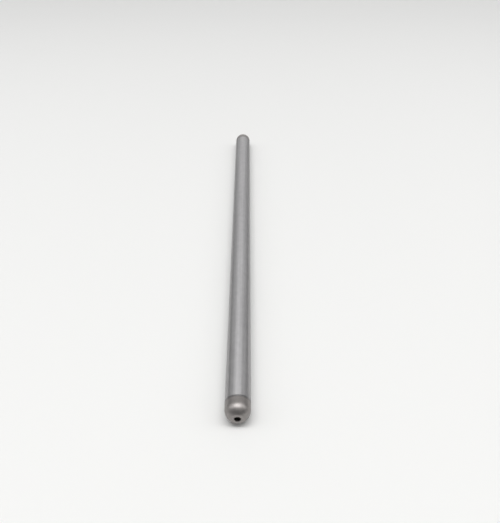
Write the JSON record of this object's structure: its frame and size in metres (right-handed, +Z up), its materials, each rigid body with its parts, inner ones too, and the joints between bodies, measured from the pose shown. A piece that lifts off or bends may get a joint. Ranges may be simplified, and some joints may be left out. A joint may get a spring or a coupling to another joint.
{
  "type": "engine pushrod",
  "caption": "Straight hollow steel pushrod with a press-fitted, oil-drilled hardened ball at each end, for an overhead-valve engine.",
  "frame": {"origin": "under the middle of the rod, on the line where it touches the surface it lies on", "axes": "+Y along the rod from the lifter end to the rocker end, +Z up, +X to the right seen from the lifter end"},
  "size_m": [0.008, 0.1982, 0.0079],
  "materials": {
    "ground_tube": "centreless ground, satin, fine marks round the tube",
    "hardened_ball": "hardened and tumbled, satin, slightly darker and warmer than the tube"
  },
  "bodies": {
    "root": {"tube": "ground_tube", "lifter_ball_end": "hardened_ball", "rocker_ball_end": "hardened_ball"}
  },
  "joints": []
}
